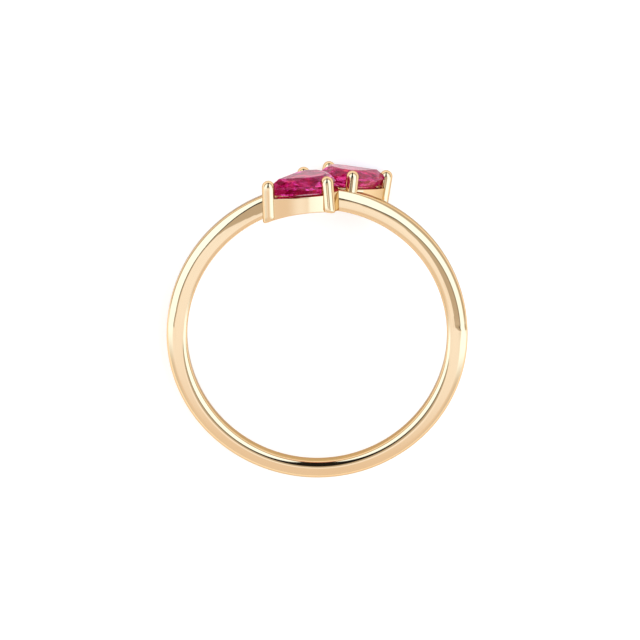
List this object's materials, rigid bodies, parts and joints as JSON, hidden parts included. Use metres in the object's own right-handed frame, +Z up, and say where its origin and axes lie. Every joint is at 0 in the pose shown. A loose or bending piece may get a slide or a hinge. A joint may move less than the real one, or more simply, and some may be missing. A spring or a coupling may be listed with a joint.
{
  "type": "ring",
  "caption": "Gold bypass finger ring whose shank arms carry a pair of pear-cut rubies in low walled prong settings, points outwards.",
  "frame": {"origin": "middle of the base of the ring's box as it lies on its back, with the floor at z 0", "axes": "+Z up; +Y from the finger hole towards the stones; +X to the picture's right, with the face that the picture shows upwards"},
  "size_m": [0.02, 0.0212, 0.0063],
  "materials": {
    "gold": "polished yellow gold",
    "ruby": "cut and polished ruby"
  },
  "bodies": {
    "root": {"ring_metal": "gold", "ruby_front": "ruby", "ruby_back": "ruby"}
  },
  "joints": []
}
